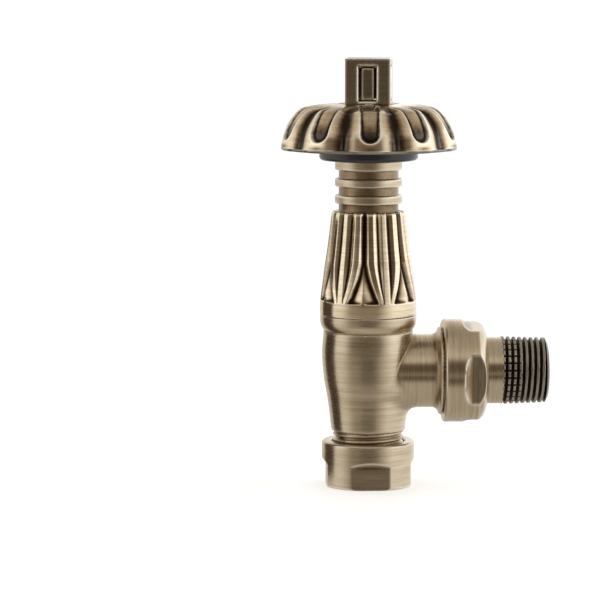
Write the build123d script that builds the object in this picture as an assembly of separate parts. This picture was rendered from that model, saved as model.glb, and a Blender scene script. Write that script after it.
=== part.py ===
"""Angled radiator valve with a decorative handwheel head, as separate pieces.

Millimetres. +Z runs up the inlet, neck and handwheel axis, +X runs out along the
tail. The origin is the centre of the compression nut's bottom face.
"""

import os
from math import cos, radians, sin

from build123d import *

# ---- driving dimensions ----
G_PITCH = 1.814  # 14 threads per inch, for both pipe threads and the tail

NUT_H, NUT_R, NUT_FLAT = 14.3, 14.65, 13.25
PIPE_R = 7.55  # socket for a 15 mm pipe
INLET_Z0, INLET_Z1, INLET_R = 6.0, 17.5, 11.25
SOCKET_Z1 = 18.0
SEAT_Z, SEAT_BORE_R, SEAT_R = 30.0, 4.75, 6.5
CHAMBER_Z0, CHAMBER_R = 27.0, 9.5
BODY_TOP, SPIGOT_TOP, SPIGOT_R = 49.2, 55.5, 11.0
INSERT_Z0, INSERT_R = 43.0, 8.6

OUTLET_Z, OUTLET_R, OUTLET_BORE_R = 36.3, 11.65, 6.6
ARM_FLANGE_X0, ARM_FLANGE_X1, ARM_FLANGE_R = 22.3, 22.9, 13.9
OUTLET_END, OUTLET_THREAD_R = 32.5, 13.0
UNION_X0, UNION_X1, UNION_R, UNION_FLAT = 23.4, 37.3, 16.35, 14.3
UNION_TURN = -4.9  # how far the union nut's flats stand off square, degrees
TAIL_R, TAIL_BORE_R, TAIL_END = 10.58, 6.2, 56.7
TAIL_FLANGE_X0, TAIL_FLANGE_X1, TAIL_FLANGE_R = 32.6, 34.6, 12.6
TAIL_GROOVE_X, TAIL_THREAD_R, TAIL_ROOT_R = 42.0, 10.75, 9.85
TAIL_HEX = 13.0

COLLAR_TOP, COLLAR_R = 54.3, 15.2
HEAD_THREAD_R, HEAD_THREAD_TOP = 12.9, 60.3
SHROUD_Z0, SHROUD_Z1, SHROUD_BAND_TOP = 54.4, 87.2, 58.6
ARCHES, ARCH_TURN, ARCH_APEX_Z = 6, -10.2, 70.3

NECK_R, NECK_BORE_R, RIB_R = 9.4, 7.6, 10.6
NECK_TOP, WEB_Z0, WEB_Z1 = 116.0, 70.0, 76.0
RIBS = ((89.6, 92.3), (94.95, 97.5), (100.15, 103.2))
RING_Z0, RING_Z1, RING_R = 103.2, 106.3, 15.55

LOBES, LOBE_TURN = 10, -2.6
WHEEL_Z0, WHEEL_Z1, WHEEL_R = 106.6, 120.9, 28.3
HUB_Z0, HUB_R, HUB_BORE_R = 106.4, 13.5, 9.48
CAVITY_Z0, CAVITY_Z1, CAVITY_R = 114.5, 118.9, 10.9

POST_SIDE, POST_TOP, POST_TURN, POST_CAVITY, POST_CEILING = 14.1, 135.2, -7.3, 10.9, 133.6
SLOT_W, SLOT_Z0, SLOT_Z1 = 5.6, 121.9, 132.8
CORE_ARM, CORE_SPAN, CORE_Z0, CORE_Z1 = 3.8, 12.4, 122.4, 132.2

SPINDLE_R, PIN_R = 2.0, 1.5
OPEN_GAP = 1.6  # disc above its seat with the wheel as set


# ---- helpers ----
def turned(*points):
    """A solid of revolution about Z from a closed outline of (radius, z) corners."""
    outline = Polyline(*[(r, 0, z) for r, z in points], close=True)
    return revolve(make_face(outline), Axis.Z, 360)


def tube(outer, inner, z0, z1):
    return turned((inner, z0), (outer, z0), (outer, z1), (inner, z1))


def rod(r, z0, z1):
    return Pos(0, 0, z0) * Cylinder(r, z1 - z0, align=(Align.CENTER, Align.CENTER, Align.MIN))


def hexagon(flats, z0, z1):
    sides = extrude(RegularPolygon(flats / 2, 6, major_radius=False), z1 - z0)
    return Pos(0, 0, z0) * sides


def block(side, z0, z1, depth=None):
    box = Box(side, depth or side, z1 - z0, align=(Align.CENTER, Align.CENTER, Align.MIN))
    return Pos(0, 0, z0) * box


def along_x(shape):
    """Takes a shape turned about Z to the outlet axis, its z becoming x."""
    return Pos(0, 0, OUTLET_Z) * Rot(0, 90, 0) * shape


def ring(mean_r, wire_r, z):
    return Pos(0, 0, z) * Torus(mean_r, wire_r)


def crests(crest_r, root_r, z0, z1, pitch, end_r=None):
    """Corners of a row of thread crests, the radius running to end_r at z1."""
    count = int((z1 - z0) / pitch)
    corners = []
    for i in range(count):
        z = z0 + i * pitch
        fall = ((end_r or crest_r) - crest_r) * i / count
        corners += [(root_r + fall, z), (crest_r + fall, z + 0.40 * pitch)]
        corners += [(crest_r + fall, z + 0.55 * pitch), (root_r + fall, z + 0.95 * pitch)]
    return corners


def around(shape, count, first):
    """Copies of a shape set at the front (-Y) direction, spaced evenly about Z."""
    return [Rot(0, 0, first + 360 / count * i) * shape for i in range(count)]


def prism(start, end, half_w, depth, grow=1.0):
    """A V-shaped cutter whose open side faces out of the axis, from start to end."""
    start, end = Vector(*start), Vector(*end)
    run = (end - start).normalized()
    out = Vector(start.X + end.X, start.Y + end.Y, 0).normalized()
    out = (out - run * out.dot(run)).normalized()
    side = run.cross(out)
    faces = []
    for at, k in ((start, 1.0), (end, grow)):
        lip = 0.6
        wide = half_w * k * (1 + lip / depth)
        top = at + out * lip
        corners = [top + side * wide, top - side * wide, at - out * depth * k]
        faces.append(make_face(Polyline(*corners, close=True)))
    return loft(faces)


def at_front(r, degrees, z):
    """A point at an angle from the front (-Y), turning towards +X."""
    a = radians(degrees)
    return (r * sin(a), -r * cos(a), z)


# ---- valve body and pipe side ----
def valve_body():
    barrel = [(11.7, 18.3), (12.3, 23.2), (12.95, 28.1), (13.85, 33.0)]
    barrel += [(14.4, 38.0), (14.6, 42.8), (14.1, BODY_TOP)]
    side = Spline(*[(r, 0, z) for r, z in barrel])
    foot = [(0, 0, INLET_Z0), (10.5, 0, INLET_Z0)]
    foot += [(r, 0, z) for r, z in crests(INLET_R, 10.35, INLET_Z0 + 0.6, INLET_Z1, G_PITCH)]
    foot += [(10.35, 0, INLET_Z1), (11.2, 0, INLET_Z1), (11.7, 0, 18.3)]
    head = [(14.1, 0, BODY_TOP), (SPIGOT_R, 0, BODY_TOP)]
    head += [(SPIGOT_R, 0, SPIGOT_TOP), (0, 0, SPIGOT_TOP)]
    outline = [Polyline(*foot), side, Polyline(*head, (0, 0, INLET_Z0))]
    body = revolve(make_face(outline), Axis.Z, 360)

    x0, x1, root_r = ARM_FLANGE_X0, ARM_FLANGE_X1, 12.1
    arm = [(0, 0), (OUTLET_R, 0), (OUTLET_R, x0 - 1.8), (12.1, x0 - 0.9), (13.0, x0 - 0.3)]
    arm += [(ARM_FLANGE_R, x0), (ARM_FLANGE_R, x1), (root_r, x1)]
    arm += crests(OUTLET_THREAD_R, root_r, x1 + 0.4, OUTLET_END, G_PITCH)
    arm += [(root_r, OUTLET_END), (0, OUTLET_END)]
    body += along_x(turned(*arm))

    body -= turned(
        (0, 0),
        (9.3, 0),
        (9.3, INLET_Z0),
        (PIPE_R, 9.2),
        (PIPE_R, SOCKET_Z1),
        (6.0, SOCKET_Z1),
        (6.0, 24.5),
        (SEAT_BORE_R, 25.5),
        (SEAT_BORE_R, SEAT_Z + 1),
        (0, SEAT_Z + 1),
    )
    body -= turned(
        (0, SEAT_Z),
        (SEAT_R, SEAT_Z),
        (SEAT_R, CHAMBER_Z0),
        (CHAMBER_R, CHAMBER_Z0),
        (CHAMBER_R, INSERT_Z0),
        (0, INSERT_Z0),
    )
    body -= rod(INSERT_R, INSERT_Z0 - 1, SPIGOT_TOP + 1)
    body -= along_x(rod(OUTLET_BORE_R, CHAMBER_R - 2, OUTLET_END + 1))
    return body


def nut_flats(distance, r, z_end, z_run):
    """Four cutters that mill flats square to the X and Y directions from z = -1."""
    corners = [(distance, -1), (r + 3, -1), (r + 3, z_run + 2), (r + 0.1, z_run), (distance, z_end)]
    side = make_face(Polyline(*[(d, 0, z) for d, z in corners], close=True))
    cutter = extrude(side, 12, dir=(0, 1, 0), both=True)
    return [Rot(0, 0, 90 * i) * cutter for i in range(4)]


def compression_nut():
    nut = turned(
        (7.75, 0),
        (NUT_R - 0.7, 0),
        (NUT_R, 0.6),
        (NUT_R, NUT_H - 0.8),
        (NUT_R - 0.25, NUT_H - 0.25),
        (NUT_R - 0.8, NUT_H),
        (12.2, NUT_H),
        (11.55, NUT_H - 0.7),
        (11.55, 2.6),
        (9.6, 2.2),
        (8.9, 2.2),
        (7.75, 1.2),
    )
    for cutter in nut_flats(NUT_FLAT, NUT_R, 7.6, 9.0):
        nut -= cutter
    return nut


def olive():
    return turned((PIPE_R, 2.4), (8.1, 2.4), (8.9, 4.2), (8.9, 5.6), (8.05, 7.6), (PIPE_R, 7.6))


# ---- outlet side ----
def union_nut():
    x0, x1 = UNION_X0, UNION_X1
    bore_r, mouth_r, step = 13.3, TAIL_R + 0.3, TAIL_FLANGE_X1 + 0.2
    nut = turned(
        (bore_r, x0),
        (UNION_R - 1.0, x0),
        (UNION_R, x0 + 0.9),
        (UNION_R, x1 - 2.7),
        (15.55, x1 - 2.0),
        (14.9, x1 - 1.4),
        (13.6, x1 - 0.65),
        (12.3, x1 - 0.25),
        (11.4, x1),
        (mouth_r, x1),
        (mouth_r, step),
        (bore_r, step),
    )
    over_r, past = UNION_R + 3, x1 + 1
    corners = [(UNION_FLAT, x1 - 5.5), (UNION_R + 0.1, x1 - 6.1), (over_r, x1 - 6.1)]
    corners += [(over_r, past), (UNION_FLAT, past)]
    side = make_face(Polyline(*[(d, 0, z) for d, z in corners], close=True))
    cutter = extrude(side, 12, dir=(0, 1, 0), both=True)
    for i in range(4):
        nut -= Rot(0, 0, UNION_TURN + 90 * i) * cutter
    return along_x(nut)


def tail_piece():
    x0, x1, groove = TAIL_FLANGE_X0, TAIL_FLANGE_X1, TAIL_GROOVE_X
    outline = [(TAIL_BORE_R, x0), (TAIL_FLANGE_R, x0), (TAIL_FLANGE_R, x1)]
    outline += [(TAIL_R, x1), (TAIL_R, groove), (TAIL_ROOT_R, groove + 0.15)]
    outline += crests(TAIL_THREAD_R, TAIL_ROOT_R, groove + 0.5, TAIL_END - 1.0, G_PITCH, end_r=10.3)
    outline += [(9.35, TAIL_END - 0.9), (8.6, TAIL_END), (TAIL_BORE_R, TAIL_END)]
    tail = turned(*outline)
    tail -= tube(10.75, 8.9, x0 - 1, x0 + 1.25)
    tail -= hexagon(TAIL_HEX, TAIL_END - 10.4, TAIL_END + 1)
    notch_start, notch_end = at_front(11.0, 0, groove + 0.4), at_front(11.0, 0, groove + 6.4)
    notch = prism(notch_start, notch_end, 0.45, 0.95, grow=0.6)
    for cutter in around(notch, 28, 0):
        tail -= cutter
    return along_x(tail)


def tail_o_ring():
    return along_x(ring(9.82, 0.62, TAIL_FLANGE_X0 + 0.6))


# ---- headwork inside the body ----
def valve_insert():
    insert = turned(
        (2.05, 38.0),
        (5.0, 38.0),
        (5.0, INSERT_Z0),
        (8.55, INSERT_Z0),
        (8.55, 53.1),
        (7.3, 53.1),
        (7.3, 54.5),
        (8.55, 54.5),
        (8.55, SPIGOT_TOP),
        (10.4, SPIGOT_TOP),
        (10.4, 57.0),
        (5.2, 57.0),
        (5.2, 44.0),
        (2.05, 44.0),
    )
    top = hexagon(17.0, 57.0, 60.0) - rod(5.2, 56.0, 61.0)
    return insert + top


def insert_o_ring():
    return ring(7.93, 0.61, 53.8)


def gland_nut():
    gland = turned((PIN_R + 0.05, 54.4), (5.15, 54.4), (5.15, 60.0), (PIN_R + 0.05, 60.0))
    gland -= rod(2.95, 54.0, 56.6)
    head = hexagon(11.0, 60.0, 62.6) - rod(PIN_R + 0.05, 59.0, 63.0)
    return gland + head


def gland_o_ring():
    return ring(2.2, 0.62, 55.6)


def valve_spindle():
    return turned(
        (0, 33.9),
        (1.2, 33.9),
        (1.2, 36.3),
        (SPINDLE_R, 36.3),
        (SPINDLE_R, 52.0),
        (4.6, 52.0),
        (4.6, 53.0),
        (PIN_R, 53.0),
        (PIN_R, 64.6),
        (PIN_R - 0.4, 65.0),
        (0, 65.0),
    )


def disc_holder():
    z0 = SEAT_Z + OPEN_GAP
    return turned(
        (1.25, z0 + 2.0),
        (5.45, z0 + 2.0),
        (5.45, z0 + 0.7),
        (6.3, z0 + 0.7),
        (6.3, z0 + 3.6),
        (4.2, z0 + 4.6),
        (1.25, z0 + 4.6),
    )


def valve_disc():
    z0 = SEAT_Z + OPEN_GAP
    return tube(5.4, 1.4, z0, z0 + 2.0)


def disc_screw():
    z0 = SEAT_Z + OPEN_GAP
    under = z0 - 1.2
    head = [(0, under), (2.2, under), (2.4, under + 0.2), (2.4, z0)]
    screw = turned(*head, (1.15, z0), (1.15, z0 + 2.2), (0, z0 + 2.2))
    return screw - Pos(0, 0, under) * Box(6, 0.7, 1.0)


def return_spring():
    coil = Helix(pitch=1.42, height=7.1, radius=3.9)
    wire = Plane(origin=coil @ 0, z_dir=coil % 0) * Circle(0.4)
    return Pos(0, 0, 44.45) * sweep(wire, path=coil)


# ---- head: collar, shroud, neck ----
def collar_ring():
    return turned(
        (SPIGOT_R + 0.05, BODY_TOP),
        (13.6, BODY_TOP),
        (14.2, 49.85),
        (14.75, 50.8),
        (15.1, 51.9),
        (COLLAR_R, 52.9),
        (COLLAR_R, COLLAR_TOP - 0.25),
        (COLLAR_R - 0.25, COLLAR_TOP),
        (12.5, COLLAR_TOP),
        (HEAD_THREAD_R, COLLAR_TOP + 0.5),
        (HEAD_THREAD_R, HEAD_THREAD_TOP - 0.5),
        (12.4, HEAD_THREAD_TOP),
        (SPIGOT_R + 0.05, HEAD_THREAD_TOP),
    )


def shroud_blank():
    flank = [(15.33, 55.6), (15.17, 58.9), (14.84, 62.0), (14.05, 68.4)]
    flank += [(13.1, 74.7), (12.3, 81.0), (11.8, 85.6)]
    rest = [(11.8, 85.6), (11.62, 86.5), (11.15, SHROUD_Z1), (9.75, SHROUD_Z1), (9.75, 67.4)]
    rest += [(10.6, 67.4), (10.6, 66.0), (9.75, 66.0), (9.75, 63.2), (11.3, 63.2), (11.3, 60.7)]
    rest += [(13.2, 60.7), (13.2, SHROUD_Z0), (15.1, SHROUD_Z0), (15.33, 54.65), (15.33, 55.6)]
    outline = [Spline(*[(r, 0, z) for r, z in flank]), Polyline(*[(r, 0, z) for r, z in rest])]
    return revolve(make_face(outline), Axis.Z, 360)


def fluted_shroud():
    """Six arches, each a slit that parts round a raised wedge, with a column between."""
    shroud = shroud_blank()
    over = SHROUD_Z1 + 1.3
    slit = prism(at_front(13.85, 0, ARCH_APEX_Z - 0.7), at_front(11.55, 0, over), 1.35, 1.05, grow=0.85)
    cutters = around(slit, ARCHES, ARCH_TURN)
    for side in (-1, 1):
        flute_foot = at_front(15.3, 25.6 * side, SHROUD_BAND_TOP + 0.4)
        flute = prism(at_front(11.7, 21 * side, over), flute_foot, 1.3, 0.95, grow=0.15)
        leg_foot = at_front(15.2, 17.5 * side, SHROUD_BAND_TOP)
        leg = prism(at_front(13.75, 1.2 * side, ARCH_APEX_Z + 0.3), leg_foot, 0.75, 0.85, grow=1.35)
        cutters += around(flute, ARCHES, ARCH_TURN) + around(leg, ARCHES, ARCH_TURN)
    for cutter in cutters:
        shroud -= cutter
    return shroud


def friction_ring():
    return tube(10.55, NECK_R + 0.05, 66.1, 67.3)


def ribbed_neck():
    outline = [(NECK_BORE_R, HEAD_THREAD_TOP), (11.0, HEAD_THREAD_TOP), (11.0, 63.0), (NECK_R, 63.0)]
    for z0, z1 in RIBS:
        outline += [(NECK_R, z0), (RIB_R - 0.35, z0), (RIB_R, z0 + 0.4)]
        outline += [(RIB_R, z1 - 0.4), (RIB_R - 0.35, z1), (NECK_R, z1)]
    outline += [(NECK_R, 114.65), (9.0, 114.65), (9.0, 115.45), (NECK_R, 115.45)]
    outline += [(NECK_R, NECK_TOP), (NECK_BORE_R, NECK_TOP), (NECK_BORE_R, WEB_Z1)]
    outline += [(1.98, WEB_Z1), (1.98, WEB_Z0), (NECK_BORE_R, WEB_Z0)]
    return turned(*outline)


def bearing_ring():
    return turned(
        (NECK_R + 0.05, RING_Z0),
        (14.6, RING_Z0),
        (15.3, RING_Z0 + 0.35),
        (RING_R, RING_Z0 + 1.0),
        (RING_R, RING_Z1 - 0.2),
        (RING_R - 0.2, RING_Z1),
        (NECK_R + 0.05, RING_Z1),
    )


# ---- handwheel and sensor ----
def handwheel():
    rim = [(28.05, 106.6), (WHEEL_R, 107.0), (27.9, 108.3), (27.55, 110.1), (27.1, 112.0), (26.4, 113.8)]
    rim += [(25.3, 115.7), (23.6, 117.8), (22.3, 119.2), (20.8, 120.1), (18.0, 120.6), (13.0, WHEEL_Z1)]
    side = Spline(*[(r, 0, z) for r, z in rim])
    under = [(13.0, WHEEL_Z1), (0, WHEEL_Z1), (0, CAVITY_Z1), (CAVITY_R, CAVITY_Z1)]
    under += [(CAVITY_R, CAVITY_Z0), (HUB_BORE_R, CAVITY_Z0), (HUB_BORE_R, HUB_Z0), (HUB_R, HUB_Z0)]
    under += [(16.5, 109.4), (21.5, 109.4), (24.0, WHEEL_Z0), (28.05, WHEEL_Z0)]
    wheel = revolve(make_face([side, Polyline(*[(r, 0, z) for r, z in under])]), Axis.Z, 360)
    wheel -= Rot(0, 0, POST_TURN) * block(POST_SIDE + 0.1, CAVITY_Z1 - 1, WHEEL_Z1 + 1)

    over_top = [(12.5, 123.4), (17.0, 122.0), (21.6, 120.7), (24.9, 117.8)]
    over_top += [(27.3, 113.6), (28.5, 109.0), (28.9, 105.0)]
    path = Spline(*[(0, -r, z) for r, z in over_top])
    groove = sweep(Plane(origin=path @ 0, z_dir=path % 0) * Circle(1.9), path=path)
    above_lobe = [(19.6, 124.9), (24.2, 122.6), (28.2, 118.6), (30.7, 113.9), (31.4, 111.6)]
    reach = Spline(*[(0, -r, z) for r, z in above_lobe])
    ball_r = 5.4
    hollow = sweep(Plane(origin=reach @ 0, z_dir=reach % 0) * Circle(ball_r), path=reach)
    hollow += Pos(*(reach @ 0)) * Sphere(ball_r)
    hollow += Pos(*(reach @ 1)) * Sphere(ball_r)
    grooves = around(groove, LOBES, LOBE_TURN + 180 / LOBES)
    for cutter in grooves + around(hollow, LOBES, LOBE_TURN):
        wheel -= cutter
    return wheel


def wheel_circlip():
    clip = tube(10.4, 9.02, 114.7, 115.4)
    return clip - Pos(0, 10, 115) * Box(3.4, 6, 2)


def sensor_cage():
    post = block(POST_SIDE, CAVITY_Z1, POST_TOP)
    post = chamfer(post.faces().sort_by(Axis.Z)[-1].edges() + post.edges().filter_by(Axis.Z), 0.55)
    cage = post + rod(CAVITY_R - 0.05, 116.9, CAVITY_Z1)
    cage -= block(POST_CAVITY, 116.0, POST_CEILING)
    slot_h = SLOT_Z1 - SLOT_Z0
    cage -= Pos(0, 0, SLOT_Z0 + slot_h / 2) * Box(SLOT_W, 20, slot_h)
    cage -= Pos(0, 0, SLOT_Z0 + slot_h / 2) * Box(20, SLOT_W, slot_h)
    return Rot(0, 0, POST_TURN) * cage


def cage_core():
    core = block(CORE_ARM, CORE_Z0, CORE_Z1, CORE_SPAN)
    core += block(CORE_SPAN, CORE_Z0, CORE_Z1, CORE_ARM)
    core += block(POST_CAVITY - 0.1, CORE_Z1, POST_CEILING)
    return Rot(0, 0, POST_TURN) * core


def setting_carrier():
    sleeve = rod(7.3, 88.0, 109.6)
    square = block(10.4, 109.6, 120.0)
    square = chamfer(square.edges().filter_by(Axis.Z), 0.4)
    carrier = sleeve + square - rod(5.7, 87.0, 108.0)
    return Rot(0, 0, POST_TURN) * carrier


def sensor_capsule():
    stem = [(0, 84.0), (3.0, 84.0), (3.2, 84.2), (3.2, 89.2)]
    bulb = [(5.1, 90.0), (5.65, 90.6), (5.65, 107.6), (5.2, 108.0), (0, 108.0)]
    return turned(*stem, *bulb)


def push_pin():
    shank = [(0, 65.0), (PIN_R, 65.0), (PIN_R + 0.4, 65.4), (PIN_R + 0.4, 82.0)]
    return turned(*shank, (3.2, 82.0), (3.2, 83.9), (0, 83.9))


NODES = (
    valve_body,
    compression_nut,
    olive,
    union_nut,
    tail_piece,
    tail_o_ring,
    valve_insert,
    insert_o_ring,
    gland_nut,
    gland_o_ring,
    valve_spindle,
    disc_holder,
    valve_disc,
    disc_screw,
    return_spring,
    collar_ring,
    fluted_shroud,
    friction_ring,
    ribbed_neck,
    bearing_ring,
    handwheel,
    wheel_circlip,
    sensor_cage,
    cage_core,
    setting_carrier,
    sensor_capsule,
    push_pin,
)

os.makedirs("parts", exist_ok=True)
for make in NODES:
    export_step(make(), f"parts/{make.__name__}.step")
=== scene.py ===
"""Looks of an angled radiator valve: finely shaped skins and worn antique brass, with painted shade and
painted highlights, over the CAD frame.
"""

from math import acos, atan2, cos, pi, radians, sin, tan

import bpy
import numpy as np
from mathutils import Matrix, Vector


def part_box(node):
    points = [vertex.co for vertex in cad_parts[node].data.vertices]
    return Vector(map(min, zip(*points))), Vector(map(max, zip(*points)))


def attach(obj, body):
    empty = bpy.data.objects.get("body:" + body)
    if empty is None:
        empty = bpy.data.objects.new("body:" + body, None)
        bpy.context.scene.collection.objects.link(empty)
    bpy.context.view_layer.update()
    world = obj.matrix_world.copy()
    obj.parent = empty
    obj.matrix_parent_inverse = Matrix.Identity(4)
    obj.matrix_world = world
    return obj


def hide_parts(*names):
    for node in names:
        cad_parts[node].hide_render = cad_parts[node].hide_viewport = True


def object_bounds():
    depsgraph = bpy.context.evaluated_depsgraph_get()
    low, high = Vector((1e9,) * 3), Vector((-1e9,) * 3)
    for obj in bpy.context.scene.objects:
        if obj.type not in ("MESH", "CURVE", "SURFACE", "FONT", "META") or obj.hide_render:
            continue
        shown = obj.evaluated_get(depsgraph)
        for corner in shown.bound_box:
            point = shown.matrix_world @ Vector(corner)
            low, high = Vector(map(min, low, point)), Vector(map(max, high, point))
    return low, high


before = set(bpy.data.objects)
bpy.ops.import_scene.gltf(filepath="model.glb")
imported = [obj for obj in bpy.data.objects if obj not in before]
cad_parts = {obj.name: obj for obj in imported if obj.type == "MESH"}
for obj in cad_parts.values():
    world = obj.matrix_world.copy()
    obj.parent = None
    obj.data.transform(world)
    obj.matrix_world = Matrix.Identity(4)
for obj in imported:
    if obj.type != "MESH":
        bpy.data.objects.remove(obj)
cad_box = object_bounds()

MM = 0.001
BRASS = "antique_brass"
PIPE_PITCH = 1.814  # mm a thread, for the tail and both pipe threads


# ---- sizes read from the frame, in mm ----
def low(node, axis):
    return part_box(node)[0][axis] / MM


def high(node, axis):
    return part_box(node)[1][axis] / MM


def radius(node, axis=1):
    return (high(node, axis) - low(node, axis)) / 2


TAIL_Z = (low("tail_piece", 2) + high("tail_piece", 2)) / 2
BODY_BASE, BODY_TOP = low("valve_body", 2), high("valve_body", 2)
OUTLET_END = high("valve_body", 0)
COLLAR_Z0 = low("collar_ring", 2)
NUT_TOP, NUT_R = high("compression_nut", 2), radius("compression_nut")


# ---- outlines ----
def smooth_step(x):
    x = np.clip(x, 0.0, 1.0)
    return x * x * (3 - 2 * x)


def soft_min(a, b, k):
    h = np.clip(0.5 + 0.5 * (b - a) / k, 0.0, 1.0)
    return b + (a - b) * h - k * h * (1 - h)


def soft_max(a, b, k):
    return -soft_min(-a, -b, k)


ARC_STEPS = 6  # pieces in a rounded corner


def rounded(*corners):
    """A closed outline of (r, h) points from its corners.

    A corner is (r, h), or (r, h, radius) to round it off.
    """
    points = []
    for i, (r, h, *bend) in enumerate(corners):
        at = np.array([r, h])
        if not bend:
            points.append(at)
            continue
        before = np.array(corners[i - 1][:2]) - at
        after = np.array(corners[(i + 1) % len(corners)][:2]) - at
        room = 0.49 * min(np.linalg.norm(before), np.linalg.norm(after))
        before, after = before / np.linalg.norm(before), after / np.linalg.norm(after)
        half = acos(np.clip(before @ after, -1, 1)) / 2
        bend = min(bend[0], room * tan(half))
        centre = at + (before + after) / np.linalg.norm(before + after) * bend / sin(half)
        first, last = at + before * bend / tan(half) - centre, at + after * bend / tan(half) - centre
        turn = atan2(first[0] * last[1] - first[1] * last[0], first @ last)
        for k in range(ARC_STEPS + 1):
            c, s = cos(turn * k / ARC_STEPS), sin(turn * k / ARC_STEPS)
            points.append(centre + np.array([first[0] * c - first[1] * s, first[0] * s + first[1] * c]))
    return points


def curve(*points, count=12):
    """Points on a smooth curve through the given ones."""
    p = np.array(points, float)
    p = np.vstack([2 * p[0] - p[1], p, 2 * p[-1] - p[-2]])
    out = []
    for i in range(1, len(p) - 2):
        for t in np.arange(count) / count:
            a = 2 * p[i] + (p[i + 1] - p[i - 1]) * t
            b = (2 * p[i - 1] - 5 * p[i] + 4 * p[i + 1] - p[i + 2]) * t**2
            c = (3 * p[i] - p[i - 1] - 3 * p[i + 1] + p[i + 2]) * t**3
            out.append((a + b + c) / 2)
    return [*out, p[-2]]


def dense(points, fine, coarse, is_fine):
    """The closed outline with more points, fine mm apart where it shows and coarse elsewhere."""
    out = []
    for i, a in enumerate(points):
        b = points[(i + 1) % len(points)]
        gap = np.linalg.norm(np.subtract(b, a))
        if gap < 1e-6:
            continue
        step = fine if is_fine(*(np.add(a, b) / 2)) else coarse
        count = max(1, int(np.ceil(gap / step)))
        out += [np.add(a, np.subtract(b, a) * k / count) for k in range(count)]
    return np.array(out)


# ---- meshes ----
def blurred(values, ends, times):
    """Averages each vertex with its neighbours, over and over."""
    count = np.bincount(ends.ravel(), minlength=len(values)) + 1.0
    for _ in range(times):
        total = values.copy()
        for k in range(values.shape[1]):
            column = values[:, k]
            total[:, k] += np.bincount(ends[:, 0], column[ends[:, 1]], len(values))
            total[:, k] += np.bincount(ends[:, 1], column[ends[:, 0]], len(values))
        values = total / count[:, None]
    return values


NEAR_PASSES, FAR_PASSES = 5, 45  # rounds of averaging: close by, and over a whole groove
EDGE_HEIGHT, CREASE_DEPTH, HOLLOW_DEPTH = 0.032, 0.05, 0.30  # mm off the average that count as full


def mark_wear_and_painted_light(mesh, stain):
    """Stores how far each point stands out as an edge, and how deep it lies in a hollow or is stained or
    shaded; these become rubbed edges with painted highlights and patina with painted shade.
    """
    n = len(mesh.vertices)
    at, out = np.empty(n * 3), np.empty(n * 3)
    mesh.vertices.foreach_get("co", at)
    mesh.vertex_normals.foreach_get("vector", out)
    at, out = at.reshape(-1, 3) / MM, out.reshape(-1, 3)
    ends = np.empty(len(mesh.edges) * 2, dtype=np.int64)
    mesh.edges.foreach_get("vertices", ends)
    ends = ends.reshape(-1, 2)
    near = blurred(at, ends, NEAR_PASSES)
    far = blurred(near, ends, FAR_PASSES)
    # edge drives rubbed edges that are partly painted highlights; deep drives patina that is partly painted
    # shade in hollows and creases
    edge = np.clip(((at - near) * out).sum(1) / EDGE_HEIGHT - 0.35, 0, 1)
    edge = edge * (1 - 0.8 * np.clip(stain, 0, 1))
    deep = np.clip(((far - at) * out).sum(1) / HOLLOW_DEPTH, 0, 1)
    deep = np.maximum(deep, 0.6 * np.clip(((near - at) * out).sum(1) / CREASE_DEPTH, 0, 1))
    deep = np.maximum(deep, stain)
    for name, values in (("edge", edge), ("deep", deep)):
        values = blurred(values[:, None], ends, 1)[:, 0]
        mesh.attributes.new(name, "FLOAT", "POINT").data.foreach_set("value", values.astype(np.float32))


def finished(name, points, faces, body, nodes, slot=BRASS, sharp=50, stain=0.0):
    """A smooth-shaded piece from points in mm, in the row frame."""
    mesh = bpy.data.meshes.new(name)
    mesh.from_pydata((np.asarray(points) * MM).tolist(), [], np.asarray(faces).tolist())
    mesh.validate()
    mesh.polygons.foreach_set("use_smooth", [True] * len(mesh.polygons))
    mesh.set_sharp_from_angle(angle=radians(sharp))
    mark_wear_and_painted_light(mesh, stain)
    piece = bpy.data.objects.new(name, mesh)
    bpy.context.scene.collection.objects.link(piece)
    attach(piece, body)
    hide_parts(*nodes)
    return piece


def turned(name, outline, body, nodes, shape=None, columns=360, lying=False, **facts):
    """A ring-like skin: the closed outline of (r, h) turned about Z, or about the tail's axis if lying.

    shape(r, h, angle) may move each point and darken it with stain or painted shade; angle 0 is the front
    and grows towards +X, or, if lying, is the front and grows downwards.
    """
    angle = np.linspace(0, 2 * pi, columns, endpoint=False)[None, :]
    r, h = outline[:, :1] + 0 * angle, outline[:, 1:] + 0 * angle
    if shape:
        r, h, *stain = shape(r, h, angle + 0 * r)
        facts["stain"] = stain[0].ravel() if stain else 0.0
    if lying:
        points = np.stack([h, -r * np.cos(angle), TAIL_Z - r * np.sin(angle)], axis=-1)
    else:
        points = np.stack([r * np.sin(angle), -r * np.cos(angle), h], axis=-1)
    n, m = r.shape
    i, j = np.meshgrid(np.arange(n), np.arange(m), indexing="ij")
    i2, j2 = (i + 1) % n, (j + 1) % m
    faces = np.stack([i * m + j, i * m + j2, i2 * m + j2, i2 * m + j], axis=-1).reshape(-1, 4)
    points = points.reshape(-1, 3)
    a, b, c, d = (points[faces[:, k]] for k in range(4))
    volume = np.einsum("ij,ij->", a, np.cross(b, c)) + np.einsum("ij,ij->", a, np.cross(c, d))
    if volume < 0:
        faces = faces[:, ::-1]
    return finished(name, points, faces, body, nodes, **facts)


SETTLE_PASSES = 4  # times the points are drawn onto the surface
PROBE = 0.01  # mm each way, for a field's slope


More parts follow.
